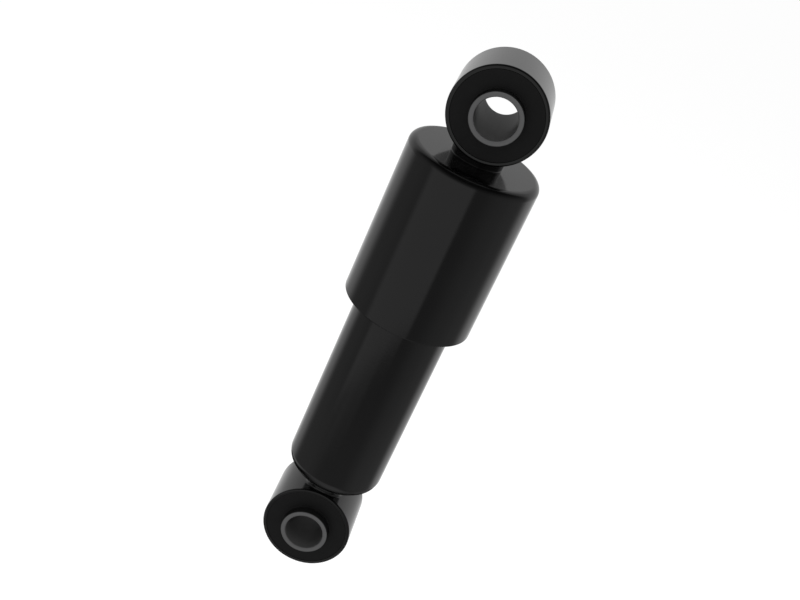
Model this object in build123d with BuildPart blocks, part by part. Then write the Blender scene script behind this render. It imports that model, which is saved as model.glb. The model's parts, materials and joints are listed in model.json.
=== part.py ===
from build123d import *
import math
import os

os.makedirs("parts", exist_ok=True)

# Telescopic twin-tube shock absorber with a rubber-bushed eye at each end.
# The origin is the centre of the lower eye, +Z runs up the strut and both bores lie along Y.
# The strut stands part-way through its stroke. All heights are worked out from the lower eye.

# Eyes and bushes
eye_diameter = 38.0
eye_wall = 1.6
eye_width = 28.6
eye_edge_radius = 0.4
bolt_bore = 16.2
sleeve_wall = 2.05
sleeve_proud = 3.8
sleeve_bore_chamfer = 0.35
sleeve_end_chamfer = 0.3
bush_clearance = 0.05

# Necks between the eyes and the two tubes
lower_neck_width = 16.4
lower_neck_setback = 0.5
lower_neck_height = 1.8
upper_neck_diameter = 21.0
upper_neck_height = 3.1

# Reservoir tube, drawn with a coned bottom and rolled in at the top
tube_diameter = 41.0
tube_wall = 1.5
tube_corner_radius = 6.5
bottom_flat_diameter = 24.6
bottom_slope = 30.0
rim_reach = 3.5

# Dust cover
cover_diameter = 53.6
cover_wall = 1.5
cover_corner_radius = 3.1
cover_edge_radius = 0.5
cover_overlap = 7.4
cover_washer_diameter = 26.0
cover_washer_thickness = 1.2
cover_washer_gap = 0.9

# Travel from the height drawn, and what is left at each end of it
compression_travel = 30.0
extension_travel = 28.0
closed_gap = 2.0
open_gap = 0.3

# Piston rod and the rebound stop on it
rod_diameter = 12.0
rod_thread_diameter = 8.0
rod_thread_chamfer = 0.8
rod_head_diameter = 10.0
rod_head_gap = 0.2
stop_groove_depth = 0.5
stop_land = 0.5
stop_thickness = 2.0
stop_width = 4.5
bumper_height = 2.5
bumper_width = 4.8

# Working cylinder
cylinder_bore = 27.0
cylinder_wall = 1.5

# Piston
piston_height = 9.1
piston_clearance = 0.3
piston_rim_width = 1.2
band_height = 6.2
band_thickness = 1.1
band_clearance = 0.05
band_joint_gap = 0.8
band_from_bottom = 1.6
rebound_port_diameter = 1.9
rebound_port_count = 6
rebound_port_circle = 12.4
check_port_diameter = 2.4
check_port_count = 8
check_port_circle = 19.8

# Check valves, on the piston and on the base valve alike
lift_chamber = 2.0
valve_rim_height = 1.2
check_plate_thickness = 0.6
check_plate_width = 3.9
check_plate_clearance = 0.2
oil_film = 0.02
stop_flange_thickness = 1.4
stop_flange_diameter = 21.6
stop_hub_wall = 0.9
star_thickness = 0.2
star_ring_width = 1.5
star_reach = 4.6
star_fingers = 6
star_slot_width = 3.0

# Shims, washer and nut under the piston
shim_thickness = 0.4
shim_count = 3
shim_step = 0.7
rebound_shim_diameter = 16.2
shim_washer_diameter = 11.6
shim_washer_thickness = 1.8
nut_height = 6.5
nut_flats = 13.0
nut_cone_width = 1.2
nut_cone_height = 0.7

# Base valve
base_foot_height = 7.7
base_spigot_height = 4.0
base_disc_thickness = 4.5
base_skirt_wall = 3.5
base_slot_width = 7.0
base_slot_count = 4
base_slot_roof = 2.5
compression_port_diameter = 1.8
compression_port_count = 6
compression_port_circle = 11.6
supply_port_diameter = 2.4
supply_port_count = 8
supply_port_circle = 19.6
base_bolt_diameter = 6.0
base_bolt_collar_wall = 0.9
base_bolt_head_diameter = 13.0
base_bolt_head_thickness = 1.0
base_bolt_end = 0.6
base_shim_diameter = 15.0
base_nut_height = 3.2
base_nut_flats = 10.0

# Rod guide, seal and closing cap
guide_spigot_height = 5.0
guide_flange_height = 11.5
guide_chamfer = 0.8
guide_bush_wall = 1.17
guide_bush_setback = 0.4
rod_running_clearance = 0.03
seal_height = 7.5
seal_wall = 1.5
seal_web = 2.0
seal_radial = 5.5
seal_lip_clearance = 0.05
seal_lip_thickness = 2.15
seal_lip_relief = 0.75
seal_lip_edge_height = 1.9
seal_lip_tip_height = 0.6
dust_lip_height = 2.6
dust_lip_thickness = 0.85
garter_wire = 1.4
garter_clearance = 0.05
garter_height = 2.1
garter_bite = 0.4
drain_diameter = 2.0
drain_count = 3
drain_wall = 1.0
cap_thickness = 2.0
cap_rod_clearance = 2.4
o_ring_cord = 2.4
o_ring_clearance = 0.05

# Radii that several pieces share
eye_radius = eye_diameter / 2
rubber_radius = eye_radius - eye_wall
bore_radius = bolt_bore / 2
sleeve_radius = bore_radius + sleeve_wall
sleeve_length = eye_width + 2 * sleeve_proud
tube_radius = tube_diameter / 2
tube_inner_radius = tube_radius - tube_wall
rim_radius = tube_inner_radius - rim_reach
cover_radius = cover_diameter / 2
cylinder_radius = cylinder_bore / 2
cylinder_outer_radius = cylinder_radius + cylinder_wall
rod_radius = rod_diameter / 2
thread_radius = rod_thread_diameter / 2
rod_head_radius = rod_head_diameter / 2
piston_radius = cylinder_radius - piston_clearance
base_bolt_radius = base_bolt_diameter / 2

# Heights of the lower half, from the lower eye up
tube_bottom = eye_radius + lower_neck_height
tube_floor = tube_bottom + tube_wall
cylinder_seat = tube_floor + base_foot_height
base_seat = cylinder_seat + base_spigot_height
base_bolt_shoulder = base_seat + lift_chamber
base_bolt_top = base_bolt_shoulder + base_bolt_head_thickness

# Heights of the piston pack, from its nut up
nut_bottom = base_bolt_top + closed_gap + compression_travel
nut_top = nut_bottom + nut_height
shims_bottom = nut_top + shim_washer_thickness
piston_bottom = shims_bottom + shim_count * shim_thickness
piston_seat = piston_bottom + piston_height
stop_flange_bottom = piston_seat + lift_chamber
rod_shoulder = stop_flange_bottom + stop_flange_thickness
stop_bottom = rod_shoulder + stop_land
stop_top = stop_bottom + stop_thickness
bumper_top = stop_top + bumper_height

# Heights of the rod guide and what closes the tube over it
guide_bottom = bumper_top + extension_travel + open_gap
guide_shoulder = guide_bottom + guide_spigot_height
guide_top = guide_shoulder + guide_flange_height
seal_floor = guide_top - seal_height
cap_top = guide_top + cap_thickness
tube_top = cap_top + tube_wall

# Heights of the upper half
cover_washer_bottom = tube_top + cover_washer_gap + compression_travel
cover_ceiling = cover_washer_bottom + cover_washer_thickness
cover_top = cover_ceiling + cover_wall
cover_bottom = tube_top - cover_overlap - extension_travel
upper_eye_bottom = cover_top + upper_neck_height
upper_eye_height = upper_eye_bottom + eye_radius
print("eye to eye as drawn", round(upper_eye_height, 3))
print("closed", round(upper_eye_height - compression_travel, 3))
print("open", round(upper_eye_height + extension_travel, 3))


def add_ring(inner_radius, outer_radius, bottom, top, mode=Mode.ADD):
    """An upright ring between two heights, joined to or cut from the part being built."""
    with BuildSketch(Plane.XY.offset(bottom)) as outline:
        Circle(outer_radius)
        Circle(inner_radius, mode=Mode.SUBTRACT)
    extrude(outline.sketch, amount=top - bottom, mode=mode)


def cut_hole(radius, bottom, top):
    """A round upright hole on the strut's axis, cut from the part being built."""
    with BuildSketch(Plane.XY.offset(bottom)) as outline:
        Circle(radius)
    extrude(outline.sketch, amount=top - bottom, mode=Mode.SUBTRACT)


def cut_ports(diameter, circle, count, bottom, top):
    """A circle of round upright oil ports, cut from the part being built."""
    with BuildSketch(Plane.XY.offset(bottom)) as outline:
        with PolarLocations(circle / 2, count):
            Circle(diameter / 2)
    extrude(outline.sketch, amount=top - bottom, mode=Mode.SUBTRACT)


def turned_profile(*points, mode=Mode.ADD):
    """A closed outline in radius and height, turned about the strut's axis."""
    with BuildSketch(Plane.XZ) as outline:
        with BuildLine():
            Polyline(*points, close=True)
        make_face()
    revolve(outline.sketch, axis=Axis.Z, mode=mode)


def turn_tube_outline(radius, corner_radius, flat_radius, bottom, top):
    """A solid tube whose bottom is flat in the middle, then a cone, then rounded up into the wall."""
    cone_top = bottom + (radius - flat_radius) * math.tan(math.radians(bottom_slope))
    with BuildSketch(Plane.XZ) as outline:
        with BuildLine():
            Polyline(
                (0, bottom),
                (flat_radius, bottom),
                (radius, cone_top),
                (radius, top),
                (0, top),
                close=True,
            )
        make_face()
        corner = outline.vertices().group_by(Axis.X)[-1].sort_by(Axis.Y)[0]
        fillet(corner, corner_radius)
    revolve(outline.sketch, axis=Axis.Z)


def add_nut(thread_radius, flats, bottom, height):
    """A hexagon nut whose corners are turned off to a cone at both ends."""
    top = bottom + height
    with BuildSketch(Plane.XY.offset(bottom)) as outline:
        RegularPolygon(flats / 2, 6, major_radius=False)
        Circle(thread_radius, mode=Mode.SUBTRACT)
    extrude(outline.sketch, amount=height)
    turned_profile(
        (0, bottom),
        (flats / 2, bottom),
        (flats / 2 + nut_cone_width, bottom + nut_cone_height),
        (flats / 2 + nut_cone_width, top - nut_cone_height),
        (flats / 2, top),
        (0, top),
        mode=Mode.INTERSECT,
    )


def add_star_spring(inner_radius, fixed_height, free_height):
    """A pressed star spring: a flat ring whose fingers slope down from the fixed height to the free one."""
    ring_radius = inner_radius + star_ring_width
    tip_radius = ring_radius + star_reach
    slot_length = star_reach + star_slot_width
    turned_profile(
        (inner_radius, fixed_height),
        (ring_radius, fixed_height),
        (tip_radius, free_height + star_thickness),
        (tip_radius, free_height),
        (ring_radius, fixed_height - star_thickness),
        (inner_radius, fixed_height - star_thickness),
    )
    with BuildSketch(Plane.XY.offset(free_height)) as outline:
        with PolarLocations(ring_radius + slot_length / 2, star_fingers):
            SlotOverall(slot_length, star_slot_width)
    extrude(outline.sketch, amount=fixed_height - free_height, mode=Mode.SUBTRACT)


def add_lying_cylinder(radius, length, height, mode=Mode.ADD):
    """A cylinder along Y, centred over the origin at a height."""
    with BuildSketch(Plane.XZ) as outline:
        with Locations((0, height)):
            Circle(radius)
    extrude(outline.sketch, amount=length / 2, both=True, mode=mode)


# Eye rings, bush rubbers and bush sleeves, the same at both ends
for end, height in (("lower", 0.0), ("upper", upper_eye_height)):
    with BuildPart() as eye_ring:
        add_lying_cylinder(eye_radius, eye_width, height)
        fillet(eye_ring.edges().filter_by(GeomType.CIRCLE), eye_edge_radius)
        add_lying_cylinder(rubber_radius, eye_width, height, mode=Mode.SUBTRACT)
    eye_ring.part.label = end + "_eye_ring"
    export_step(eye_ring.part, "parts/" + end + "_eye_ring.step")

    with BuildPart() as bush_rubber:
        add_lying_cylinder(rubber_radius, eye_width, height)
        add_lying_cylinder(sleeve_radius + bush_clearance, eye_width, height, mode=Mode.SUBTRACT)
    bush_rubber.part.label = end + "_bush_rubber"
    export_step(bush_rubber.part, "parts/" + end + "_bush_rubber.step")

    with BuildPart() as bush_sleeve:
        add_lying_cylinder(sleeve_radius, sleeve_length, height)
        chamfer(bush_sleeve.edges().filter_by(GeomType.CIRCLE), sleeve_end_chamfer)
        add_lying_cylinder(bore_radius, sleeve_length, height, mode=Mode.SUBTRACT)
        bore_edges = bush_sleeve.edges().filter_by(GeomType.CIRCLE).sort_by(SortBy.RADIUS)[:2]
        chamfer(bore_edges, sleeve_bore_chamfer)
    bush_sleeve.part.label = end + "_bush_sleeve"
    export_step(bush_sleeve.part, "parts/" + end + "_bush_sleeve.step")

# Outside of the reservoir tube as a solid: a straight wall, a rounded corner and a shallow coned bottom
bottom_flat_radius = bottom_flat_diameter / 2
with BuildPart() as tube_envelope:
    turn_tube_outline(tube_radius, tube_corner_radius, bottom_flat_radius, tube_bottom, tube_top)

# Space inside it, one wall smaller all round, which the base valve's feet fit
inner_flat_radius = bottom_flat_radius - tube_wall * math.tan(math.radians(bottom_slope / 2))
inner_corner_radius = tube_corner_radius - tube_wall
with BuildPart() as tube_space:
    turn_tube_outline(tube_inner_radius, inner_corner_radius, inner_flat_radius, tube_floor, cap_top)

# Reservoir tube, with its top edge rolled in over the closing cap
with BuildPart() as reservoir_tube:
    add(tube_envelope.part)
    rim_edge = reservoir_tube.edges().filter_by(GeomType.CIRCLE).sort_by(Axis.Z)[-1]
    fillet(rim_edge, tube_wall)
    add(tube_space.part, mode=Mode.SUBTRACT)
    cut_hole(rim_radius, cap_top, tube_top)
reservoir_tube.part.label = "reservoir_tube"
export_step(reservoir_tube.part, "parts/reservoir_tube.step")

# Saddle stub that joins the lower eye to the tube, as long as the eye and coped to both
lower_neck_length = eye_width - 2 * lower_neck_setback
with BuildPart() as lower_eye_stub:
    with BuildSketch():
        SlotOverall(lower_neck_length, lower_neck_width, rotation=90)
    extrude(amount=cylinder_seat)
    add_lying_cylinder(eye_radius, eye_width, 0.0, mode=Mode.SUBTRACT)
    add(tube_envelope.part, mode=Mode.SUBTRACT)
lower_eye_stub.part.label = "lower_eye_stub"
export_step(lower_eye_stub.part, "parts/lower_eye_stub.step")

# Working cylinder, from the base valve's shoulder up to the rod guide's
with BuildPart() as working_cylinder:
    add_ring(cylinder_radius, cylinder_outer_radius, cylinder_seat, guide_shoulder)
working_cylinder.part.label = "working_cylinder"
export_step(working_cylinder.part, "parts/working_cylinder.step")

# Base valve body: a spigot in the cylinder, two circles of ports and a slotted foot on the tube's bottom
base_disc_bottom = base_seat - base_disc_thickness
base_rim_radius = cylinder_radius - piston_rim_width
with BuildPart() as base_valve_body:
    turned_profile(
        (0, tube_floor),
        (cylinder_outer_radius, tube_floor),
        (cylinder_outer_radius, cylinder_seat),
        (cylinder_radius, cylinder_seat),
        (cylinder_radius, base_seat + valve_rim_height),
        (base_rim_radius, base_seat + valve_rim_height),
        (base_rim_radius, base_seat),
        (0, base_seat),
    )
    add(tube_space.part, mode=Mode.INTERSECT)
    cut_hole(cylinder_outer_radius - base_skirt_wall, tube_floor, base_disc_bottom)
    cut_hole(base_bolt_radius, base_disc_bottom, base_seat)
    for diameter, circle, count in (
        (compression_port_diameter, compression_port_circle, compression_port_count),
        (supply_port_diameter, supply_port_circle, supply_port_count),
    ):
        cut_ports(diameter, circle, count, base_disc_bottom, base_seat)
    with BuildSketch(Plane.XY.offset(tube_floor)):
        with PolarLocations(cylinder_outer_radius - base_skirt_wall / 2, base_slot_count):
            Rectangle(2 * base_skirt_wall, base_slot_width)
    extrude(amount=base_disc_bottom - base_slot_roof - tube_floor, mode=Mode.SUBTRACT)
base_valve_body.part.label = "base_valve_body"
export_step(base_valve_body.part, "parts/base_valve_body.step")

# Shims that close the compression ports from below, widest against the body
base_shims_bottom = base_disc_bottom - shim_count * shim_thickness
with BuildPart() as compression_shims:
    for layer in range(shim_count):
        shim_top = base_disc_bottom - layer * shim_thickness
        shim_radius = base_shim_diameter / 2 - layer * shim_step
        add_ring(base_bolt_radius, shim_radius, shim_top - shim_thickness, shim_top)
compression_shims.part.label = "compression_shims"
export_step(compression_shims.part, "parts/compression_shims.step")

# Nut under the base valve
base_nut_bottom = base_shims_bottom - base_nut_height
with BuildPart() as base_valve_nut:
    add_nut(base_bolt_radius, base_nut_flats, base_nut_bottom, base_nut_height)
base_valve_nut.part.label = "base_valve_nut"
export_step(base_valve_nut.part, "parts/base_valve_nut.step")

# Bolt through the base valve, whose collar and head carry the check spring
base_collar_radius = base_bolt_radius + base_bolt_collar_wall
with BuildPart() as base_valve_bolt:
    turned_profile(
        (0, base_nut_bottom - base_bolt_end),
        (base_bolt_radius, base_nut_bottom - base_bolt_end),
        (base_bolt_radius, base_seat),
        (base_collar_radius, base_seat),
        (base_collar_radius, base_bolt_shoulder),
        (base_bolt_head_diameter / 2, base_bolt_shoulder),
        (base_bolt_head_diameter / 2, base_bolt_top),
        (0, base_bolt_top),
    )
base_valve_bolt.part.label = "base_valve_bolt"
export_step(base_valve_bolt.part, "parts/base_valve_bolt.step")

# Check plate that lifts off the base valve's supply ports as the strut opens
base_plate_radius = base_rim_radius - check_plate_clearance
base_plate_bottom = base_seat + oil_film
base_plate_top = base_plate_bottom + check_plate_thickness
with BuildPart() as base_check_plate:
    add_ring(base_plate_radius - check_plate_width, base_plate_radius, base_plate_bottom, base_plate_top)
base_check_plate.part.label = "base_check_plate"
export_step(base_check_plate.part, "parts/base_check_plate.step")

# Star spring that holds it down
with BuildPart() as base_check_spring:
    add_star_spring(base_collar_radius, base_bolt_shoulder, base_plate_top)
base_check_spring.part.label = "base_check_spring"
export_step(base_check_spring.part, "parts/base_check_spring.step")

# Piston rod: threaded end, shoulder, groove for the rebound stop, and the head that takes the cover
groove_radius = rod_radius - stop_groove_depth
rod_top = upper_eye_bottom - rod_head_gap
with BuildPart() as piston_rod:
    turned_profile(
        (0, nut_bottom),
        (thread_radius - rod_thread_chamfer, nut_bottom),
        (thread_radius, nut_bottom + rod_thread_chamfer),
        (thread_radius, rod_shoulder),
        (rod_radius, rod_shoulder),
        (rod_radius, stop_bottom),
        (groove_radius, stop_bottom),
        (groove_radius, stop_top),
        (rod_radius, stop_top),
        (rod_radius, cover_washer_bottom),
        (rod_head_radius, cover_washer_bottom),
        (rod_head_radius, rod_top),
        (0, rod_top),
    )
piston_rod.part.label = "piston_rod"
export_step(piston_rod.part, "parts/piston_rod.step")

# Rebound stop, pressed into the rod's groove, and the bumper ring on it
with BuildPart() as rebound_stop:
    add_ring(groove_radius, rod_radius + stop_width, stop_bottom, stop_top)
rebound_stop.part.label = "rebound_stop"
export_step(rebound_stop.part, "parts/rebound_stop.step")

with BuildPart() as rebound_bumper:
    add_ring(rod_radius, rod_radius + bumper_width, stop_top, bumper_top)
rebound_bumper.part.label = "rebound_bumper"
export_step(rebound_bumper.part, "parts/rebound_bumper.step")

# Valve stop: a flanged bush between the rod's shoulder and the piston, over the check plate
stop_hub_radius = thread_radius + stop_hub_wall
with BuildPart() as valve_stop:
    add_ring(thread_radius, stop_hub_radius, piston_seat, stop_flange_bottom)
    add_ring(thread_radius, stop_flange_diameter / 2, stop_flange_bottom, rod_shoulder)
valve_stop.part.label = "valve_stop"
export_step(valve_stop.part, "parts/valve_stop.step")

# Piston body: raised rim round the seat, groove for the band and two circles of ports
band_bottom = piston_bottom + band_from_bottom
band_top = band_bottom + band_height
band_outer_radius = cylinder_radius - band_clearance
band_inner_radius = band_outer_radius - band_thickness
piston_seat_radius = piston_radius - piston_rim_width
with BuildPart() as piston_body:
    turned_profile(
        (thread_radius, piston_bottom),
        (piston_radius, piston_bottom),
        (piston_radius, band_bottom - band_clearance),
        (band_inner_radius - band_clearance, band_bottom - band_clearance),
        (band_inner_radius - band_clearance, band_top + band_clearance),
        (piston_radius, band_top + band_clearance),
        (piston_radius, piston_seat + valve_rim_height),
        (piston_seat_radius, piston_seat + valve_rim_height),
        (piston_seat_radius, piston_seat),
        (thread_radius, piston_seat),
    )
    cut_ports(rebound_port_diameter, rebound_port_circle, rebound_port_count, piston_bottom, piston_seat)
    cut_ports(check_port_diameter, check_port_circle, check_port_count, piston_bottom, piston_seat)
piston_body.part.label = "piston_body"
export_step(piston_body.part, "parts/piston_body.step")

# Split sliding band in the piston's groove
with BuildPart() as piston_band:
    add_ring(band_inner_radius, band_outer_radius, band_bottom, band_top)
    with BuildSketch(Plane.XY.offset(band_bottom)):
        with Locations((band_outer_radius, 0)):
            Rectangle(4 * band_thickness, band_joint_gap)
    extrude(amount=band_height, mode=Mode.SUBTRACT)
piston_band.part.label = "piston_band"
export_step(piston_band.part, "parts/piston_band.step")

# Check plate that lifts off the piston's check ports as the strut closes
piston_plate_radius = piston_seat_radius - check_plate_clearance
piston_plate_bottom = piston_seat + oil_film
piston_plate_top = piston_plate_bottom + check_plate_thickness
with BuildPart() as piston_check_plate:
    add_ring(
        piston_plate_radius - check_plate_width,
        piston_plate_radius,
        piston_plate_bottom,
        piston_plate_top,
    )
piston_check_plate.part.label = "piston_check_plate"
export_step(piston_check_plate.part, "parts/piston_check_plate.step")

# Star spring that holds it down
with BuildPart() as piston_star_spring:
    add_star_spring(stop_hub_radius, stop_flange_bottom, piston_plate_top)
piston_star_spring.part.label = "piston_star_spring"
export_step(piston_star_spring.part, "parts/piston_star_spring.step")

# Shims that close the rebound ports from below, widest against the piston
with BuildPart() as rebound_shims:
    for layer in range(shim_count):
        shim_top = piston_bottom - layer * shim_thickness
        shim_radius = rebound_shim_diameter / 2 - layer * shim_step
        add_ring(thread_radius, shim_radius, shim_top - shim_thickness, shim_top)
rebound_shims.part.label = "rebound_shims"
export_step(rebound_shims.part, "parts/rebound_shims.step")

with BuildPart() as shim_washer:
    add_ring(thread_radius, shim_washer_diameter / 2, nut_top, shims_bottom)
shim_washer.part.label = "shim_washer"
export_step(shim_washer.part, "parts/shim_washer.step")

# Nut that clamps the piston pack against the rod's shoulder
with BuildPart() as piston_nut:
    add_nut(thread_radius, nut_flats, nut_bottom, nut_height)
piston_nut.part.label = "piston_nut"
export_step(piston_nut.part, "parts/piston_nut.step")

# Rod guide: a spigot in the cylinder, a flange in the tube, a seal pocket and slanted drains
bush_outer_radius = rod_radius + rod_running_clearance + guide_bush_wall
seal_radius = rod_radius + seal_radial
rebate = o_ring_cord + 2 * o_ring_clearance
drain_radius = drain_diameter / 2
drain_mouth = cylinder_outer_radius + drain_wall + drain_radius
with BuildPart() as rod_guide:
    turned_profile(
        (bush_outer_radius, guide_bottom),
        (cylinder_radius - guide_chamfer, guide_bottom),
        (cylinder_radius, guide_bottom + guide_chamfer),
        (cylinder_radius, guide_shoulder),
        (tube_inner_radius, guide_shoulder),
        (tube_inner_radius, guide_top - rebate),
        (tube_inner_radius - rebate, guide_top - rebate),
        (tube_inner_radius - rebate, guide_top),
        (seal_radius, guide_top),
        (seal_radius, seal_floor),
        (bush_outer_radius, seal_floor),
    )
    for turn in range(drain_count):
        outward = Vector(1, 0, 0).rotate(Axis.Z, 360 * turn / drain_count)
        mouth = outward * drain_mouth + Vector(0, 0, guide_shoulder)
        inner_end = outward * (seal_radius - drain_radius) + Vector(0, 0, seal_floor + drain_radius)
        slope = inner_end - mouth
        with BuildSketch(Plane(origin=mouth - slope.normalized() * drain_diameter, z_dir=slope)):
            Circle(drain_radius)
        extrude(amount=slope.length + drain_diameter, mode=Mode.SUBTRACT)
rod_guide.part.label = "rod_guide"
export_step(rod_guide.part, "parts/rod_guide.step")

# Bearing bush in the guide's bore
with BuildPart() as guide_bush:
    add_ring(
        rod_radius + rod_running_clearance,
        bush_outer_radius,
        guide_bottom + guide_bush_setback,
        seal_floor - guide_bush_setback,
    )
guide_bush.part.label = "guide_bush"
export_step(guide_bush.part, "parts/guide_bush.step")

# Rod seal: outer wall, web, oil lip with its garter groove, and a dust lip through the cap
lip_edge_radius = rod_radius + seal_lip_clearance
lip_relief_radius = lip_edge_radius + seal_lip_relief
lip_outer_radius = lip_edge_radius + seal_lip_thickness
web_bottom = guide_top - seal_web
dust_lip_top = guide_top + dust_lip_height
garter_radius = lip_outer_radius - garter_bite + garter_wire / 2
garter_place = (garter_radius, seal_floor + garter_height)
with BuildPart() as rod_seal:
    with BuildSketch(Plane.XZ):
        with BuildLine():
            Polyline(
                (seal_radius, seal_floor),
                (seal_radius, guide_top),
                (lip_relief_radius + dust_lip_thickness, guide_top),
                (lip_edge_radius + dust_lip_thickness, dust_lip_top),
                (lip_edge_radius, dust_lip_top),
                (lip_relief_radius, guide_top),
                (lip_relief_radius, web_bottom),
                (lip_edge_radius, seal_floor + seal_lip_edge_height),
                (lip_relief_radius, seal_floor + seal_lip_tip_height),
                (lip_outer_radius, seal_floor + seal_lip_tip_height),
                (lip_outer_radius, web_bottom),
                (seal_radius - seal_wall, web_bottom),
                (seal_radius - seal_wall, seal_floor),
                close=True,
            )
        make_face()
        with Locations(garter_place):
            Circle(garter_wire / 2 + garter_clearance, mode=Mode.SUBTRACT)
    revolve(axis=Axis.Z)
rod_seal.part.label = "rod_seal"
export_step(rod_seal.part, "parts/rod_seal.step")

with BuildPart() as seal_garter_spring:
    with BuildSketch(Plane.XZ):
        with Locations(garter_place):
            Circle(garter_wire / 2)
    revolve(axis=Axis.Z)
seal_garter_spring.part.label = "seal_garter_spring"
export_step(seal_garter_spring.part, "parts/seal_garter_spring.step")

# O-ring in the guide's rebate, under the cap
with BuildPart() as tube_o_ring:
    with BuildSketch(Plane.XZ):
        with Locations((tube_inner_radius - rebate / 2, guide_top - rebate / 2)):
            Circle(o_ring_cord / 2)
    revolve(axis=Axis.Z)
tube_o_ring.part.label = "tube_o_ring"
export_step(tube_o_ring.part, "parts/tube_o_ring.step")

with BuildPart() as closing_cap:
    add_ring(rod_radius + cap_rod_clearance, tube_inner_radius, guide_top, cap_top)
closing_cap.part.label = "closing_cap"
export_step(closing_cap.part, "parts/closing_cap.step")

# Dust cover: a drawn cup with a rounded shoulder, open below
with BuildPart() as dust_cover:
    with BuildSketch(Plane.XY.offset(cover_bottom)):
        Circle(cover_radius)
    extrude(amount=cover_top - cover_bottom)
    shoulder_edge = dust_cover.edges().filter_by(GeomType.CIRCLE).sort_by(Axis.Z)[-1]
    fillet(shoulder_edge, cover_corner_radius)
    mouth_face = dust_cover.faces().sort_by(Axis.Z)[0]
    offset(amount=-cover_wall, openings=mouth_face)
    mouth_edges = dust_cover.edges().filter_by(GeomType.CIRCLE).group_by(Axis.Z)[0]
    fillet(mouth_edges, min(cover_edge_radius, cover_wall / 3))
    cut_hole(rod_head_radius, cover_ceiling, cover_top)
dust_cover.part.label = "dust_cover"
export_step(dust_cover.part, "parts/dust_cover.step")

with BuildPart() as cover_washer:
    add_ring(rod_head_radius, cover_washer_diameter / 2, cover_washer_bottom, cover_ceiling)
cover_washer.part.label = "cover_washer"
export_step(cover_washer.part, "parts/cover_washer.step")

# Collar on the rod's head, coped to the upper eye
with BuildPart() as rod_head_collar:
    add_ring(rod_head_radius, upper_neck_diameter / 2, cover_top, upper_eye_height)
    add_lying_cylinder(eye_radius, eye_width, upper_eye_height, mode=Mode.SUBTRACT)
rod_head_collar.part.label = "rod_head_collar"
export_step(rod_head_collar.part, "parts/rod_head_collar.step")
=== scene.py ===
import json
import math

import bmesh
import bpy
import numpy as np
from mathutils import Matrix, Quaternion, Vector

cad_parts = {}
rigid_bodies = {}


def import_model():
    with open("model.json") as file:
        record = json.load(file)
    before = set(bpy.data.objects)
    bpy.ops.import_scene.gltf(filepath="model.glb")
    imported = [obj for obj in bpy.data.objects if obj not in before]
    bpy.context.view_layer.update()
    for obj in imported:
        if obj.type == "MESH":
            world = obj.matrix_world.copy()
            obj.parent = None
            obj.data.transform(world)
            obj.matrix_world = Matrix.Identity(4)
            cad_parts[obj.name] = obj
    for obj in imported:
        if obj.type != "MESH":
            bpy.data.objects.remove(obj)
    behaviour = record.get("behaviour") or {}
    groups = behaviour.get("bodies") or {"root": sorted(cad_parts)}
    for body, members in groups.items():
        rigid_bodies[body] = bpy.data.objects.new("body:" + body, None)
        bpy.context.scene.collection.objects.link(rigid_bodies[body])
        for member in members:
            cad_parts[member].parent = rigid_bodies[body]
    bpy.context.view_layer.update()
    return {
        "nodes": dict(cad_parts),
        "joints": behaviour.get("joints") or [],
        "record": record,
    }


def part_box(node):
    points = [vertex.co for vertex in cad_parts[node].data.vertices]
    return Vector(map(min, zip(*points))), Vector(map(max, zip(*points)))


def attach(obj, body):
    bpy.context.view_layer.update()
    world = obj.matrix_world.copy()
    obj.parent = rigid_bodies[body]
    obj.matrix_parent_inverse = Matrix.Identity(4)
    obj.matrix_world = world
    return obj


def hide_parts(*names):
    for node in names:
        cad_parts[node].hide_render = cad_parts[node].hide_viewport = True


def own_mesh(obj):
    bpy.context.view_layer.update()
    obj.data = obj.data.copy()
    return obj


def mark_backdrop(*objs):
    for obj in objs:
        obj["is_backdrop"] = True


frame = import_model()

millimetre = 0.001

# How finely the surfaces are divided
round_steps = 192
corner_steps = 9
side_steps = 16
room_turns = 72
room_lifts = 45
card_steps = 64

# Camera of the photograph, from the centre of the lower eye
camera_place = Vector((-0.00737, -0.44635, 0.32913))
camera_aim = Vector((-0.00399, 0.0, 0.11040))
camera_roll = math.radians(24.76)
camera_lens = 55.91
camera_near = 0.01

# Pale floor under the part, plain light from all round, and a soft lamp for the shadow
floor_height = -0.10
floor_half_size = 4.0
floor_colour = (0.80, 0.80, 0.80, 1)
floor_glow = 0.34
plain_level = 0.80
level_in_gloss = 0.66
white_level = 1.0
overhead_size = 0.70
overhead_height = 0.80
overhead_power = 1.6

# Room that the enamel reflects: dim in front, pale behind, and dark towards the ceiling. Angles in degrees
room_radius = 5.0
room_middle = 0.10
room_pole = 89
room_skew = 4.0
room_level = 0.20
room_ceiling_level = 0.02
room_ceiling_start = 5.0
room_ceiling_end = 58.0

# Edges beyond the room's own range, for a patch that doesn't fade there
from_front = (-2, -1)
to_back = (200, 201)
from_below = (-100, -99)
to_top = (91, 92)

# Patches on both sides: level, then the turns where each sets in and fades out, and the lifts likewise
room_patches = {
    "side_walls": (0.05, (25, 62), to_back, from_below, (5, 58)),
    "side_lights": (0.04, (25, 62), (84, 102), from_below, (5, 58)),
    "backdrop": (0.41, (104, 127), to_back, from_below, (48, 75)),
    "backdrop_foot": (0.24, (137, 164), to_back, from_below, (-22, -8)),
    "front_foot": (0.05, from_front, (60, 90), from_below, (-36, -29)),
    "backdrop_head": (0.20, (135, 150), to_back, (24, 36), (48, 75)),
    "ceiling_lamp": (0.25, (95, 115), to_back, (66, 76), to_top),
}

# Patches that aren't mirrored, with turns to the left as negative, and the panel's own level and slope
left_foot = (0.50, (-135, -118), (-106, -93), from_below, (-41, -34.5))
panel_foot = (0.10, (-50, -35), (-12, 0), (-34.5, -29.0), (-28.5, -27.0))
panel_share = (1.0, (-66, -54), (15, 22), (-29.6, -27.0), (-5, 35))
panel_level = 0.52
panel_lean = 0.05

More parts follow.
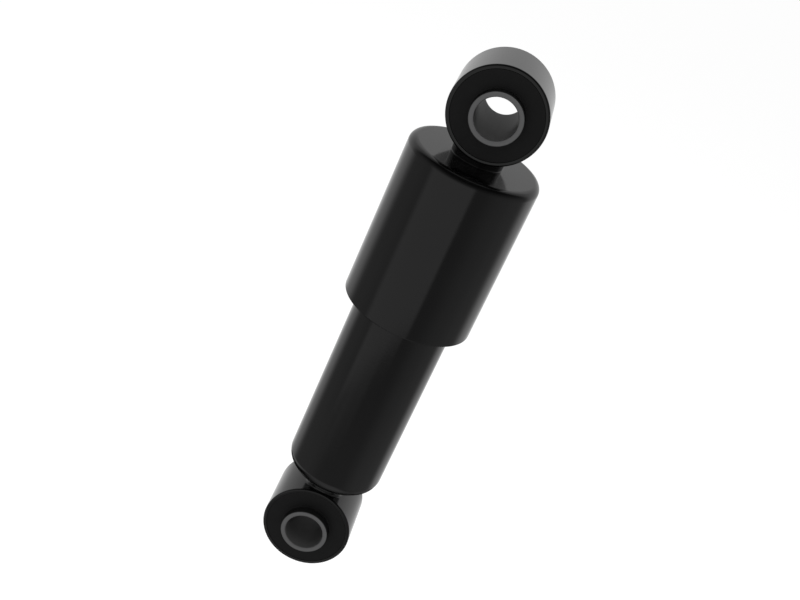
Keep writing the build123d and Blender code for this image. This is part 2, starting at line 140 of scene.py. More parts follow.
# Card far below. Each side has a plain level and the two distances over which that sets in
low_card_drop = 1.5
low_card_radius = 1.95
low_card_lean = -0.25
low_card_light_to = -0.90
low_card_dark_from = 0.15
low_card_brightness = 0.50
low_card_shadow = 0.02
low_card_sides = ((0.25, 0.70, 1.15), (0.60, -1.12, -1.45))

# Edges of the eye rings, the rubbers and the sleeves
ring_outer_edge = 0.8 * millimetre
ring_inner_edge = 0.12 * millimetre
rubber_set_back = 0.10 * millimetre
rubber_clearance = 0.05 * millimetre
rubber_edge = 0.15 * millimetre
rubber_crease = rubber_edge / 3
rubber_lip_width = 0.55 * millimetre
rubber_lip_height = 0.30 * millimetre
sleeve_end_chamfer = 0.3 * millimetre
sleeve_bore_chamfer = 0.35 * millimetre
chamfer_blend = 0.10 * millimetre

# Walls and edges of the dust cover and the reservoir tube
cover_wall = 1.5 * millimetre
cover_shoulder = 3.1 * millimetre
cover_mouth_edge = 0.5 * millimetre
rod_hole_radius = 5.0 * millimetre
rod_hole_edge = 0.12 * millimetre
tube_wall = 1.5 * millimetre
tube_rim_reach = 3.5 * millimetre
tube_rim_edge = 0.3 * millimetre
tube_corner = 6.5 * millimetre
bottom_flat = 12.3 * millimetre
bottom_slope = math.radians(30)
bottom_edge = 0.5 * millimetre

# Weld fillets of the necks, the small disc that closes a surface on its axis, and when corners are one
upper_neck_fillet = 0.35 * millimetre
lower_neck_fillet = 0.80 * millimetre
lower_neck_setback = 0.70 * millimetre
pole_radius = 0.3 * millimetre
merge_distance = 0.001 * millimetre

# Finishes: refractive index and greys, the sleeves' ones partly painted shade, then the fade of the rubbed
# ends and the rings' drift in pitches
surface_index = 1.5
bush_rubber_grey = 0.0048
seal_rubber_grey = 0.010
# Grey of the sleeves' outer wall: painted shade, near black where the sleeve stands proud of the rubber
outside_shade_grey = 0.008
# Greys of the sleeve bores: phosphate darkened as painted shade, the upper bore far darker than the lower
phosphate_and_shade_greys = {"lower": 0.060, "upper": 0.028}
sleeve_rub_fade = 0.25 * millimetre
ring_run_out = 0.15


# Outlines in radius and height, with an outward normal for each point

def rounded_corners(chain):
    """The corners of a chain of lines, each turned into an arc of its own radius.

    chain holds rows of (across, along, radius) and runs with the solid on its left. Its first and last
    rows only give the directions there. A corner's arc has its centre at the corner less
    side * radius * (n1 + n2) / (1 + n1.n2), where n1 and n2 are the normals of the two lines, and each
    point lies side * radius * n(angle) from that centre, with the angle going evenly from n1 to n2.
    """
    table = np.array(chain, float)
    spots, radii = table[:, :2], table[1:-1, 2]
    runs = np.diff(spots, axis=0)
    runs /= np.linalg.norm(runs, axis=1, keepdims=True)
    normals = np.stack([runs[:, 1], -runs[:, 0]], axis=1)
    first, second = normals[:-1], normals[1:]
    cosine = (first * second).sum(axis=1)
    turn = np.arctan2(first[:, 0] * second[:, 1] - first[:, 1] * second[:, 0], cosine)
    reach = (np.sign(turn) * radii)[:, None]
    centres = spots[1:-1] - reach * (first + second) / (1 + cosine)[:, None]
    share = np.linspace(0, 1, corner_steps)
    angles = np.arctan2(first[:, 1], first[:, 0])[:, None] + turn[:, None] * share
    arc_normals = np.stack([np.cos(angles), np.sin(angles)], axis=-1)
    points = centres[:, None, :] + reach[:, :, None] * arc_normals
    return points.reshape(-1, 2), arc_normals.reshape(-1, 2)


def closed_outline(corners):
    """The same arcs for a closed outline, whose corners run anticlockwise."""
    return rounded_corners([corners[-1]] + corners + [corners[0]])


def mirrored_outline(half):
    """A closed outline from its corners on one side of the middle: the others mirror them in reverse."""
    return closed_outline(half + [(across, -along, radius) for across, along, radius in reversed(half)])


def end_point(across, along, normal):
    """One point of an outline with its normal."""
    return np.array([[across, along]]), np.array([normal], float)


def join_outlines(*stretches):
    """Stretches of outline one after the other, as one array of points and one of normals."""
    return np.vstack([s[0] for s in stretches]), np.vstack([s[1] for s in stretches])


# Meshes from grids of points

def grid_piece(name, points, normals, rows_end):
    """A smooth mesh on a grid of points whose columns go once round.

    Each quad joins two neighbouring rows and columns. The rows end "joined", first to last, or "capped"
    with one flat face each. Quads that face against the normals are turned over.
    """
    rows, columns = points.shape[:2]
    index = np.arange(rows * columns).reshape(rows, columns)
    ring = np.hstack([index, index[:, :1]])
    if rows_end == "joined":
        ring = np.vstack([ring, ring[:1]])
    quads = np.stack([ring[:-1, :-1], ring[:-1, 1:], ring[1:, 1:], ring[1:, :-1]], axis=-1).reshape(-1, 4)
    flat_points, flat_normals = points.reshape(-1, 3), normals.reshape(-1, 3)
    side = np.cross(flat_points[quads[:, 2]] - flat_points[quads[:, 0]],
                    flat_points[quads[:, 3]] - flat_points[quads[:, 1]])
    turned_over = (side * flat_normals[quads[:, 0]]).sum() < 0
    faces = (quads[:, ::-1] if turned_over else quads).tolist()
    if rows_end == "capped":
        first, last = index[0].tolist(), index[-1].tolist()
        faces += [first, last[::-1]] if turned_over else [first[::-1], last]
    mesh = bpy.data.meshes.new(name)
    mesh.from_pydata(flat_points, [], faces)
    mesh.update()
    mesh.polygons.foreach_set("use_smooth", np.ones(len(mesh.polygons), bool))
    mesh.normals_split_custom_set_from_vertices(flat_normals)
    return placed(name, mesh)


def placed(name, mesh):
    """An object at the origin that shows a mesh."""
    piece = bpy.data.objects.new(name, mesh)
    bpy.context.scene.collection.objects.link(piece)
    return piece


def turned_piece(name, outline, centre, axis, rows_end="joined"):
    """An outline carried once round an axis: centre + across (u cos a + v sin a) + along axis."""
    points, normals = outline
    axis = np.array(axis, float)
    first = np.array((1.0, 0.0, 0.0))
    second = np.cross(axis, first)
    angles = np.linspace(0, 2 * np.pi, round_steps, endpoint=False)
    spokes = np.cos(angles)[:, None] * first + np.sin(angles)[:, None] * second
    places = points[:, 0, None, None] * spokes + points[:, 1, None, None] * axis + np.array(centre)
    lean = normals[:, 0, None, None] * spokes + normals[:, 1, None, None] * axis
    return grid_piece(name, places, lean, rows_end)


def neck_plan(stretch):
    """Directions round a neck, and how far each column's centre is shifted along Y.

    A round neck has no stretch. A long one has a half circle at each end, about centres at +stretch and
    -stretch, and straight sides between them.
    """
    if stretch == 0:
        angles = np.linspace(0, 2 * np.pi, round_steps, endpoint=False)
        return angles, 0 * angles
    half_turn = np.linspace(0, np.pi, round_steps // 2)
    side = np.linspace(1, -1, side_steps)[1:-1]
    angles = np.hstack([half_turn, np.pi + 0 * side, np.pi + half_turn, 0 * side])
    shifts = stretch * np.hstack([1 + 0 * half_turn, side, -1 + 0 * half_turn, -side])
    return angles, shifts


def neck_piece(name, foot, head, radius, stretch, fillet, inner_radius, rows_end):
    """A neck between two surfaces, given as heights foot(x, y) and head(x, y).

    Its plan is c(a) + radius (cos a, sin a), with the centre c from neck_plan, and its wall is upright.
    At each end a small fillet runs from the wall to the surface along the quadratic curve
    (1-t)^2 A + 2 t (1-t) B + t^2 C, where B is the corner that the fillet softens. The ends follow the
    two surfaces in to the inner radius.
    """
    angles, shifts = neck_plan(stretch)
    t = np.linspace(0, 1, corner_steps)[:, None]

    def spot(radii):
        return radii * np.cos(angles), radii * np.sin(angles) + shifts

    def bend(start, corner, end):
        return (1 - t) ** 2 * start + 2 * t * (1 - t) * corner + t ** 2 * end

    def place(radii, heights):
        return np.stack([*spot(radii), heights], axis=-1)

    out = np.full((1, len(angles)), radius)
    foot_tip, foot_corner = foot(*spot(out + fillet)), foot(*spot(out))
    head_tip, head_corner = head(*spot(out + fillet)), head(*spot(out))
    foot_bend = bend(foot_tip, foot_corner, foot_corner + fillet)
    head_bend = bend(head_corner - fillet, head_corner, head_tip)
    reach = bend(out + fillet, out, out)
    ends = np.linspace(inner_radius, radius, corner_steps)[:, None] + 0 * angles
    blocks = [
        place(ends, foot(*spot(ends))),
        place(np.vstack([reach, reach[::-1]]), np.vstack([foot_bend, head_bend])),
        place(ends[::-1], head(*spot(ends[::-1]))),
    ]
    normals = []
    for block in blocks:
        along = np.gradient(block, axis=0)
        around = np.roll(block, -1, axis=1) - np.roll(block, 1, axis=1)
        normal = np.cross(around, along)
        normals.append(normal / np.linalg.norm(normal, axis=-1, keepdims=True))
    return grid_piece(name, np.vstack(blocks), np.vstack(normals), rows_end)


def dress(piece, material, body, slot, *nodes):
    """Gives a piece its material and its body, and hides the solids that it stands for. The slot is not
    used.
    """
    piece.data.materials.append(material)
    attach(piece, body)
    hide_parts(*nodes)


# Nodes that the finishes and the studio share

def plug(tree, kind, inputs=None, **settings):
    """Adds a node, gives it its settings, and links or sets its inputs by name or number."""
    node = tree.nodes.new(kind)
    for key, value in settings.items():
        setattr(node, key, value)
    for key, value in (inputs or {}).items():
        if isinstance(value, bpy.types.NodeSocket):
            tree.links.new(value, node.inputs[key])
        else:
            node.inputs[key].default_value = value
    return node


def arithmetic(tree, operation, *values):
    """The result of one Math node."""
    return plug(tree, "ShaderNodeMath", dict(enumerate(values)), operation=operation).outputs[0]


def object_place(tree, height=0.0):
    """The point on the surface in metres, measured from a height on the strut's axis."""
    point = plug(tree, "ShaderNodeTexCoord").outputs["Object"]
    if height == 0.0:
        return point
    return plug(tree, "ShaderNodeMapping", {"Vector": point, "Location": (0, 0, -height)}).outputs["Vector"]


def spread(tree, value, low, high, start=0.3, end=0.7):
    """A value brought from between start and end to between low and high. Noise mostly fills 0.3 to 0.7."""
    inputs = {"Value": value, "From Min": start, "From Max": end, "To Min": low, "To Max": high}
    return plug(tree, "ShaderNodeMapRange", inputs).outputs["Result"]


def mixed(tree, share, first, second):
    """A level between two, by a share of the second from 0 to 1."""
    return plug(tree, "ShaderNodeMix", {"Factor": share, 2: first, 3: second}).outputs[0]


def blend(tree, share, first, second):
    """A mix of two colours, by a share of the second from 0 to 1."""
    return plug(tree, "ShaderNodeMix", {"Factor": share, 6: first, 7: second}, data_type="RGBA").outputs[2]


def tint(tree, value, dark, light):
    """A colour between two plain ones, chosen by a value from 0 to 1."""
    return blend(tree, value, (*dark, 1), (*light, 1))


def mottle(tree, vector, size, detail=3.0, roughness=0.5):
    """Soft noise whose blotches are about the given size in metres."""
    inputs = {"Vector": vector, "Scale": 1 / size, "Detail": detail, "Roughness": roughness}
    return plug(tree, "ShaderNodeTexNoise", inputs).outputs["Fac"]


# Finishes

def new_finish(name, metallic=0.0, specular=0.5):
    """A material with one shader, then its tree and that shader."""
    material = bpy.data.materials.new(name)
    material.use_nodes = True
    tree = material.node_tree
    shader = tree.nodes["Principled BSDF"]
    shader.inputs["Metallic"].default_value = metallic
    shader.inputs["IOR"].default_value = surface_index
    shader.inputs["Specular IOR Level"].default_value = specular
    return material, tree, shader


def lay_on(tree, shader, colour, roughness):
    """Gives the shader its colour and its roughness."""
    tree.links.new(colour, shader.inputs["Base Color"])
    tree.links.new(roughness, shader.inputs["Roughness"])


def relief(tree, shader, height, depth):
    """Bumps of the given depth in metres, on top of any bumps already there."""
    inputs = {"Height": height, "Distance": depth, "Strength": 1.0}
    if shader.inputs["Normal"].is_linked:
        inputs["Normal"] = shader.inputs["Normal"].links[0].from_socket
    node = plug(tree, "ShaderNodeBump", inputs)
    tree.links.new(node.outputs["Normal"], shader.inputs["Normal"])


def axis_and_radius(tree, point, lying):
    """Distance along and from the axis of a round piece, lying along Y or standing along Z."""
    parts = plug(tree, "ShaderNodeSeparateXYZ", {"Vector": point}).outputs
    along, other = (parts["Y"], parts["Z"]) if lying else (parts["Z"], parts["Y"])
    flat = plug(tree, "ShaderNodeCombineXYZ", {"X": parts["X"], "Y": other}).outputs["Vector"]
    radius = plug(tree, "ShaderNodeVectorMath", {0: flat}, operation="LENGTH").outputs["Value"]
    return along, radius


def tool_marks(tree, point, lying, pitch):
    """Fine rings that a cutting tool leaves: noise over the distances along and from the axis.

    Broad soft noise shifts the radius a little, so that the rings fade in and out round the piece.
    """
    along, radius = axis_and_radius(tree, point, lying)
    drift = mottle(tree, point, size=8 * millimetre)
    radius = arithmetic(tree, "ADD", radius, arithmetic(tree, "MULTIPLY", drift, ring_run_out * pitch))
    rings = plug(tree, "ShaderNodeCombineXYZ", {"X": radius, "Y": along}).outputs["Vector"]
    return mottle(tree, rings, pitch, detail=2.0, roughness=0.7)


def gloss_black_enamel():
    """Stoved black enamel: deep black, glossy, with a fine orange peel and a few duller clouds."""
    material, tree, shader = new_finish("gloss_black_enamel")
    point = object_place(tree)
    clouds = mottle(tree, point, size=14 * millimetre, detail=4.0)
    specks = mottle(tree, point, size=0.9 * millimetre, detail=2.0)
    haze = arithmetic(tree, "MULTIPLY", clouds, specks)
    lay_on(tree, shader,
           tint(tree, clouds, dark=(0.0010, 0.0010, 0.0010), light=(0.0022, 0.0022, 0.0023)),
           spread(tree, haze, low=0.07, high=0.13, start=0.12, end=0.45))
    relief(tree, shader, mottle(tree, point, size=1.6 * millimetre, detail=1.0), depth=0.0035 * millimetre)
    relief(tree, shader, mottle(tree, point, size=12.5 * millimetre, detail=0.0), depth=0.012 * millimetre)
    return material


def moulded_rubber(name, grey):
    """Black moulded rubber: matte, with a fine grain and a faint bloom."""
    material, tree, shader = new_finish(name, specular=0.25)
    point = object_place(tree)
    bloom = mottle(tree, point, size=4 * millimetre, detail=5.0)
    lay_on(tree, shader,
           tint(tree, bloom, dark=(grey * 0.7,) * 3, light=(grey * 1.5, grey * 1.5, grey * 1.55)),
           spread(tree, bloom, low=0.50, high=0.66))
    relief(tree, shader, mottle(tree, point, size=0.22 * millimetre, detail=3.0), depth=0.012 * millimetre)
    relief(tree, shader, mottle(tree, point, size=3 * millimetre, detail=2.0), depth=0.020 * millimetre)
    return material


def sleeve_steel(name, height, bore_radius, sleeve_radius, phosphate_and_shade_grey):
    """Bush sleeve: phosphate in the bore, darkened as painted shade, a near-black outer wall that is painted
    shade where the sleeve stands proud of the rubber, and rubbed grey on the end faces.

    The distance from the axis tells them apart: the end faces lie round the middle of the wall, and the bore
    and the outer wall off it by half its thickness.
    """
    material, tree, shader = new_finish(name, specular=0.20)
    point = object_place(tree, height)
    radius = axis_and_radius(tree, point, lying=True)[1]
    middle, half_wall = (bore_radius + sleeve_radius) / 2, (sleeve_radius - bore_radius) / 2
    off = arithmetic(tree, "ABSOLUTE", arithmetic(tree, "SUBTRACT", radius, middle))
    rubbed = spread(tree, off, 1, 0, half_wall - sleeve_rub_fade, half_wall)
    outside = spread(tree, radius, 0, 1, middle, sleeve_radius - sleeve_rub_fade)
    marks = tool_marks(tree, point, lying=True, pitch=0.28 * millimetre)
    bore_phosphate_and_shade = tint(tree, mottle(tree, point, size=4 * millimetre),
                     dark=(phosphate_and_shade_grey * 0.85,) * 3, light=(phosphate_and_shade_grey * 1.15,) * 3)
    # Painted shade: the outer wall turns near black, and the bore keeps its phosphate grey, darkened as
    # painted shade
    coat_and_shade = blend(tree, outside, bore_phosphate_and_shade, (outside_shade_grey, outside_shade_grey, outside_shade_grey, 1))
    bare = tint(tree, marks, dark=(0.093, 0.093, 0.094), light=(0.118, 0.118, 0.119))
    lay_on(tree, shader, blend(tree, rubbed, coat_and_shade, bare), spread(tree, marks, low=0.46, high=0.56))
    relief(tree, shader, marks, depth=0.001 * millimetre)
    return material


def turned_metal(name, dark, light, roughness, pitch, depth):
    """Machined metal: rings from the tool, a slight stain, and smoother where the stain is."""
    material, tree, shader = new_finish(name, metallic=1.0)
    point = object_place(tree)
    rings = tool_marks(tree, point, lying=False, pitch=pitch)
    stain = mottle(tree, point, size=6 * millimetre, detail=5.0)
    both = arithmetic(tree, "MULTIPLY", rings, stain)
    lay_on(tree, shader,
           tint(tree, spread(tree, both, 0, 1, start=0.1, end=0.4), dark, light),
           spread(tree, stain, low=roughness * 1.2, high=roughness * 0.8))
    relief(tree, shader, rings, depth)
    return material


def hard_chrome():
    """Ground and chromed rod: near mirror, with the finest grinding lines round it."""
    return turned_metal("hard_chrome", dark=(0.58, 0.59, 0.61), light=(0.66, 0.67, 0.69),
                        roughness=0.07, pitch=0.12 * millimetre, depth=0.0006 * millimetre)


def plain_steel():
    """Bright drawn steel of the inner tube, washers, nuts and bolt."""
    return turned_metal("plain_steel", dark=(0.40, 0.40, 0.40), light=(0.52, 0.52, 0.51),
                        roughness=0.30, pitch=0.3 * millimetre, depth=0.003 * millimetre)


def spring_steel():
    """Tempered strip: blue-grey, with faint rolling lines."""
    return turned_metal("spring_steel", dark=(0.22, 0.23, 0.26), light=(0.34, 0.35, 0.38),
                        roughness=0.28, pitch=0.4 * millimetre, depth=0.002 * millimetre)


def bearing_bronze():
    """Bronze of the guide bush."""
    return turned_metal("bearing_bronze", dark=(0.47, 0.30, 0.13), light=(0.62, 0.42, 0.20),
                        roughness=0.32, pitch=0.3 * millimetre, depth=0.003 * millimetre)


def sintered_iron():
    """Pressed iron powder: dull grey and pitted with fine pores."""
    material, tree, shader = new_finish("sintered_iron", metallic=1.0)
    point = object_place(tree)
    pore_spacing = 0.45 * millimetre
    cells = plug(tree, "ShaderNodeTexVoronoi", {"Vector": point, "Scale": 1 / pore_spacing})
    pores = spread(tree, cells.outputs["Distance"], 0, 1, start=0.05, end=0.35)
    grain = mottle(tree, point, size=1.2 * millimetre, detail=5.0)
    lay_on(tree, shader,
           tint(tree, grain, dark=(0.17, 0.17, 0.17), light=(0.30, 0.30, 0.295)),
           spread(tree, grain, low=0.42, high=0.60))
    relief(tree, shader, pores, depth=0.03 * millimetre)
    return material


def filled_plastic():
    """Bronze-filled plastic of the piston band: dull green-brown with fine flecks."""
    material, tree, shader = new_finish("filled_plastic")
    point = object_place(tree)
    flecks = mottle(tree, point, size=0.3 * millimetre, detail=4.0)
    lay_on(tree, shader,
           tint(tree, spread(tree, flecks, 0, 1), dark=(0.10, 0.085, 0.05), light=(0.20, 0.17, 0.10)),
           spread(tree, flecks, low=0.40, high=0.55))
    relief(tree, shader, flecks, depth=0.006 * millimetre)
    return material


# Studio

def bare_material(name):
    """A material without nodes, and its tree."""
    material = bpy.data.materials.new(name)
    material.use_nodes = True
    material.node_tree.nodes.clear()
    return material, material.node_tree


def light_up(tree, level):
    """Makes the surface give light of this level, and nothing else."""
    glow = plug(tree, "ShaderNodeEmission", {"Strength": level})
    plug(tree, "ShaderNodeOutputMaterial", {"Surface": glow.outputs[0]})


def glossy_only(piece):
    """A surface that is seen in reflections, but not by the camera, and that lights nothing else."""
    for sight in ("camera", "diffuse", "transmission", "volume_scatter", "shadow"):
        setattr(piece, "visible_" + sight, False)
    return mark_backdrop(piece)


def flat_card(name, corners, material):
    """One flat card inside its corners."""
    mesh = bpy.data.meshes.new(name)
    mesh.from_pydata([tuple(c) for c in corners], [], [tuple(range(len(corners)))])
    mesh.materials.append(material)
    return placed(name, mesh)


def soft_patch(tree, turn, lift, level, turn_in, turn_out, lift_in, lift_out):
    """A patch of light with soft edges: level * in(turn) * out(turn) * in(lift) * out(lift)."""
    def edge(angle, low, high, limits):
        start, end = (math.radians(limit) for limit in limits)
        inputs = {"Value": angle, "From Min": start, "From Max": end, "To Min": low, "To Max": high}
        return plug(tree, "ShaderNodeMapRange", inputs, interpolation_type="SMOOTHSTEP").outputs["Result"]

    across = arithmetic(tree, "MULTIPLY", edge(turn, 0, level, turn_in), edge(turn, 1, 0, turn_out))
    upright = arithmetic(tree, "MULTIPLY", edge(lift, 0, 1, lift_in), edge(lift, 1, 0, lift_out))
    return arithmetic(tree, "MULTIPLY", across, upright)


def room_material():
    """Light of the room by direction: atan2(x, -y) for the turn from the front, asin(z / R) for the lift.

    A dim level that falls off to a dark ceiling has the patches added to it, and the panel laid over it.
    """
    material, tree = bare_material("studio_room")
    from_middle = object_place(tree, room_middle)
    direction = plug(tree, "ShaderNodeVectorMath", {0: from_middle}, operation="NORMALIZE").outputs["Vector"]
    parts = plug(tree, "ShaderNodeSeparateXYZ", {"Vector": direction}).outputs
    lift = arithmetic(tree, "ARCSINE", parts["Z"])
    turn = arithmetic(tree, "ARCTAN2", parts["X"], arithmetic(tree, "MULTIPLY", parts["Y"], -1.0))
    aside = arithmetic(tree, "ABSOLUTE", arithmetic(tree, "SUBTRACT", turn, math.radians(room_skew)))
    leant = arithmetic(tree, "SUBTRACT", lift, arithmetic(tree, "MULTIPLY", turn, panel_lean))
    level = spread(tree, lift, room_level, room_ceiling_level,
                   math.radians(room_ceiling_start), math.radians(room_ceiling_end))
    lights = [soft_patch(tree, aside, lift, *patch) for patch in room_patches.values()]
    lights += [soft_patch(tree, turn, leant, *panel_foot), soft_patch(tree, turn, lift, *left_foot)]
    for light in lights:
        level = arithmetic(tree, "ADD", level, light)
    light_up(tree, mixed(tree, soft_patch(tree, turn, leant, *panel_share), level, panel_level))
    return material


def make_room():
    """Room round the part, as a ball: centre + R (cos b sin a, -cos b cos a, sin b).

    The turn a goes once round from the front, and the lift b from straight down to straight up.
    """
    a = np.linspace(0, 2 * np.pi, room_turns, endpoint=False)[None, :]
    b = np.radians(np.linspace(-room_pole, room_pole, room_lifts))[:, None]
    directions = np.stack([np.cos(b) * np.sin(a), -np.cos(b) * np.cos(a), np.sin(b) + 0 * a], axis=-1)
    places = room_radius * directions + (0, 0, room_middle)
    room = grid_piece("studio_room", places, -directions, "capped")
    room.data.materials.append(room_material())
    glossy_only(room)


def make_low_card():
    """Round card far below, which the tube's bottom edge reflects: pale in front, dark behind like a shadow.

    Its level goes by y + lean x, so that it falls off towards the back and a little to the left, and
    far to the right and left it turns to a plain level.
    """
    material, tree = bare_material("low_card")
    point = object_place(tree)
    depth = plug(tree, "ShaderNodeVectorMath", {0: point, 1: (low_card_lean, 1, 0)}, operation="DOT_PRODUCT")
    level = spread(tree, depth.outputs["Value"], low_card_brightness, low_card_shadow,
                   low_card_light_to, low_card_dark_from)
    across = plug(tree, "ShaderNodeSeparateXYZ", {"Vector": point}).outputs["X"]
    for side_level, start, end in low_card_sides:
        level = mixed(tree, spread(tree, across, 0, 1, start, end), level, side_level)
    light_up(tree, level)
    turns = np.linspace(0, 2 * np.pi, card_steps, endpoint=False)
    corners = low_card_radius * np.stack([np.cos(turns), np.sin(turns), 0 * turns], axis=1)
    glossy_only(flat_card("low_card", corners - (0, 0, low_card_drop), material))


def make_floor():
    """Pale floor. Its colour takes the light and the shadow, and what the camera sees is lifted to white."""
    sides = ((-1, -1), (1, -1), (1, 1), (-1, 1))
    corners = [(x * floor_half_size, y * floor_half_size, floor_height) for x, y in sides]
    material, tree = bare_material("pale_floor")
    matte = plug(tree, "ShaderNodeBsdfDiffuse", {"Color": floor_colour})
    seen = plug(tree, "ShaderNodeLightPath").outputs["Is Camera Ray"]
    glow = plug(tree, "ShaderNodeEmission", {"Strength": arithmetic(tree, "MULTIPLY", seen, floor_glow)})
    both = plug(tree, "ShaderNodeAddShader", {0: matte.outputs[0], 1: glow.outputs[0]})
    plug(tree, "ShaderNodeOutputMaterial", {"Surface": both.outputs[0]})
    floor = flat_card("floor", corners, material)
    floor.visible_glossy = False


def make_world():
    """White to the camera and through clear things, a little less in gloss, and a plain level elsewhere."""
    world = bpy.data.worlds.new("studio")
    world.use_nodes = True
    tree = world.node_tree
    background = tree.nodes["Background"]
    background.inputs["Color"].default_value = (1, 1, 1, 1)
    path = plug(tree, "ShaderNodeLightPath").outputs
    unseen = mixed(tree, path["Is Glossy Ray"], plain_level, level_in_gloss)
    seen = arithmetic(tree, "MAXIMUM", path["Is Camera Ray"], path["Is Transmission Ray"])
    tree.links.new(mixed(tree, seen, unseen, white_level), background.inputs["Strength"])
    bpy.context.scene.world = world


def make_overhead():
    """Soft square lamp above the part, for the shadow on the floor."""
    lamp = bpy.data.lights.new("overhead", "AREA")
    lamp.size = overhead_size
    lamp.energy = overhead_power
    fixture = placed("overhead", lamp)
    fixture.location = (0, 0, overhead_height)
    fixture.visible_glossy = False


def make_camera():
    """The photograph's camera, rolled about its own line of sight."""
    camera = placed("photo_camera", bpy.data.cameras.new("photo_camera"))
    camera.rotation_mode = "QUATERNION"
    camera.location = camera_place
    level = (camera_aim - camera_place).to_track_quat("-Z", "Y")
    camera.rotation_quaternion = level @ Quaternion((0, 0, 1), camera_roll)
    camera.data.lens = camera_lens
    camera.data.clip_start = camera_near
    bpy.context.scene.camera = camera


make_camera()
make_world()
make_floor()
make_room()
make_low_card()
make_overhead()

# Finishes shared by several pieces
enamel = gloss_black_enamel()
bush_rubber = moulded_rubber("bonded_bush_rubber", bush_rubber_grey)
steel = plain_steel()
tempered = spring_steel()
finishes = {
    "chrome": hard_chrome(),
    "plain_steel": steel,
    "spring_steel": tempered,
    "sintered_iron": sintered_iron(),
    "bearing_bronze": bearing_bronze(),
    "band_plastic": filled_plastic(),
    "seal_rubber": moulded_rubber("seal_rubber", seal_rubber_grey),
    "bush_rubber": bush_rubber,
    "black_paint": enamel,
    "sleeve_steel": steel,
}

# Every solid gets the finish of its slot, and those inside keep it and their shape
for part in frame["record"]["subparts"]:
    solid = frame["nodes"][part["node"]]
    solid.data.materials.clear()
    solid.data.materials.append(finishes[part["material_slot"]])

# Eyes, from the outside in
eye_heights = {}
bores = [mount for mount in frame["record"]["mounts"] if mount["kind"] == "bore"]
bore_radii = {bore["name"]: bore["dims"]["r_mm"] * millimetre for bore in bores}
for end, ring_body, sleeve_body in (
    ("lower", "cylinder_unit", "lower_sleeve"),
    ("upper", "rod_unit", "upper_sleeve"),
):
    low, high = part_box(end + "_eye_ring")
    height, eye_radius, half_width = (low.z + high.z) / 2, high.x, high.y
    eye_heights[end] = height
    rubber_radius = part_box(end + "_bush_rubber")[1].x
    sleeve_radius, sleeve_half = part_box(end + "_bush_sleeve")[1].x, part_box(end + "_bush_sleeve")[1].y
    bore_radius = bore_radii[end + "_eye_bore"]
    centre, across_bore = (0, 0, height), (0, 1, 0)

    ring = mirrored_outline([
        (rubber_radius, -half_width, ring_inner_edge),
        (eye_radius, -half_width, ring_outer_edge),
    ])
    dress(turned_piece(end + "_eye_tube", ring, centre, across_bore),
          enamel, ring_body, "black_paint", end + "_eye_ring")

    face = half_width - rubber_set_back
    lip_radius = sleeve_radius + rubber_lip_width
    lip_top = face + rubber_lip_height
    moulding = mirrored_outline([
        (sleeve_radius + rubber_clearance, -lip_top, rubber_crease),
        (lip_radius - rubber_lip_width / 2, -lip_top, rubber_edge),
        (lip_radius, -face, rubber_edge),
        (rubber_radius - rubber_edge, -face, rubber_edge),
        (rubber_radius, -face + rubber_edge, rubber_crease),
    ])
    dress(turned_piece(end + "_bush_moulding", moulding, centre, across_bore),
          bush_rubber, ring_body, "bush_rubber", end + "_bush_rubber")

    sleeve = mirrored_outline([
        (bore_radius, -sleeve_half + sleeve_bore_chamfer, chamfer_blend),
        (bore_radius + sleeve_bore_chamfer, -sleeve_half, chamfer_blend),
        (sleeve_radius - sleeve_end_chamfer, -sleeve_half, chamfer_blend),
        (sleeve_radius, -sleeve_half + sleeve_end_chamfer, chamfer_blend),
    ])
    # The sleeve finish paints shade on the outer wall and in the bore, at each end's own level
    sleeve_finish_and_shade = sleeve_steel(end + "_sleeve_steel", height, bore_radius, sleeve_radius, phosphate_and_shade_greys[end])
    dress(turned_piece(end + "_bolt_sleeve", sleeve, centre, across_bore),
          sleeve_finish_and_shade, sleeve_body, "sleeve_steel", end + "_bush_sleeve")

# Dust cover: a cup with a round shoulder and a hole for the rod
low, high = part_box("dust_cover")
cover_radius, cover_bottom, cover_top = high.x, low.z, high.z
cover_ceiling, cover_inside = cover_top - cover_wall, cover_radius - cover_wall
cover = closed_outline([
    (cover_radius, cover_bottom, cover_mouth_edge),
    (cover_radius, cover_top, cover_shoulder),
    (rod_hole_radius, cover_top, rod_hole_edge),
    (rod_hole_radius, cover_ceiling, rod_hole_edge),
    (cover_inside, cover_ceiling, cover_shoulder - cover_wall),
    (cover_inside, cover_bottom, cover_mouth_edge),
])
dress(turned_piece("dust_cover_shell", cover, (0, 0, 0), (0, 0, 1)),
      enamel, "rod_unit", "black_paint", "dust_cover")

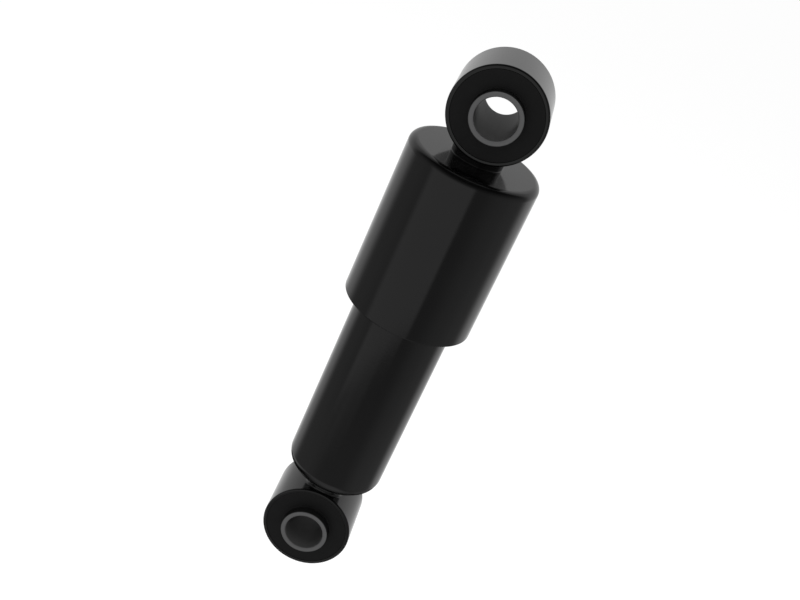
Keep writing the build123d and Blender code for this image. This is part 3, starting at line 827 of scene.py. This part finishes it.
# Reservoir tube: flat and then coned bottom, round corner, straight wall and a rim rolled in over the cap
low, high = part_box("reservoir_tube")
tube_radius, tube_bottom, tube_top = high.x, low.z, high.z
tube_inside, tube_floor = tube_radius - tube_wall, tube_bottom + tube_wall
rim_radius, rim_underside = tube_inside - tube_rim_reach, tube_top - tube_wall
inside_flat = bottom_flat - tube_wall * math.tan(bottom_slope / 2)
cone_top = tube_bottom + (tube_radius - bottom_flat) * math.tan(bottom_slope)
inside_cone_top = tube_floor + (tube_inside - inside_flat) * math.tan(bottom_slope)
tube = join_outlines(
    end_point(pole_radius, tube_bottom, (0, -1)),
    rounded_corners([
        (pole_radius, tube_bottom, 0),
        (bottom_flat, tube_bottom, bottom_edge),
        (tube_radius, cone_top, tube_corner),
        (tube_radius, tube_top, tube_wall),
        (rim_radius, tube_top, tube_rim_edge),
        (rim_radius, rim_underside, tube_rim_edge),
        (tube_inside, rim_underside, tube_rim_edge),
        (tube_inside, inside_cone_top, tube_corner - tube_wall),
        (inside_flat, tube_floor, bottom_edge),
        (pole_radius, tube_floor, 0),
    ]),
    end_point(pole_radius, tube_floor, (0, 1)),
)
dress(turned_piece("reservoir_shell", tube, (0, 0, 0), (0, 0, 1), "capped"),
      enamel, "cylinder_unit", "black_paint", "reservoir_tube")


# Necks between the eyes and the two tubes

def eye_surface(height, side):
    """Height of an eye's barrel above or below its centre: centre + side sqrt(R^2 - x^2)."""
    return lambda x, y: height + side * np.sqrt(eye_radius ** 2 - x ** 2)


def cover_surface(x, y):
    """The flat top of the dust cover."""
    return cover_top + 0 * x


def tube_underside(x, y):
    """Underside of the reservoir tube: flat in the middle, then rising by the slope's tangent outwards."""
    return tube_bottom + np.maximum(np.hypot(x, y) - bottom_flat, 0) * math.tan(bottom_slope)


upper_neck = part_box("rod_head_collar")[1]
dress(neck_piece("rod_head_neck", cover_surface, eye_surface(eye_heights["upper"], -1),
                 upper_neck.x, 0, upper_neck_fillet, rod_hole_radius, "joined"),
      enamel, "rod_unit", "black_paint", "rod_head_collar")

lower_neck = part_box("lower_eye_stub")[1]
lower_neck_stretch = lower_neck.y - lower_neck.x - lower_neck_setback
dress(neck_piece("lower_eye_neck", eye_surface(eye_heights["lower"], 1), tube_underside,
                 lower_neck.x, lower_neck_stretch, lower_neck_fillet, pole_radius, "capped"),
      enamel, "cylinder_unit", "black_paint", "lower_eye_stub")

# Star springs, which flatten towards their fixed end as the check plate under them lifts; each is only
# copied here, with doubled points merged, in the spring finish
for joint in frame["joints"]:
    for bent in joint.get("deforming_nodes", []):
        leaf = frame["nodes"][bent["node"]].data.copy()
        loose = bmesh.new()
        loose.from_mesh(leaf)
        bmesh.ops.remove_doubles(loose, verts=loose.verts, dist=merge_distance)
        loose.to_mesh(leaf)
        loose.free()
        leaf.materials.clear()
        piece = placed(bent["node"] + "_leaf", leaf)
        dress(piece, tempered, joint["parent"], "spring_steel", bent["node"])
        low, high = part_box(bent["node"])
        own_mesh(piece)

bpy.context.scene.view_settings.view_transform = "Standard"
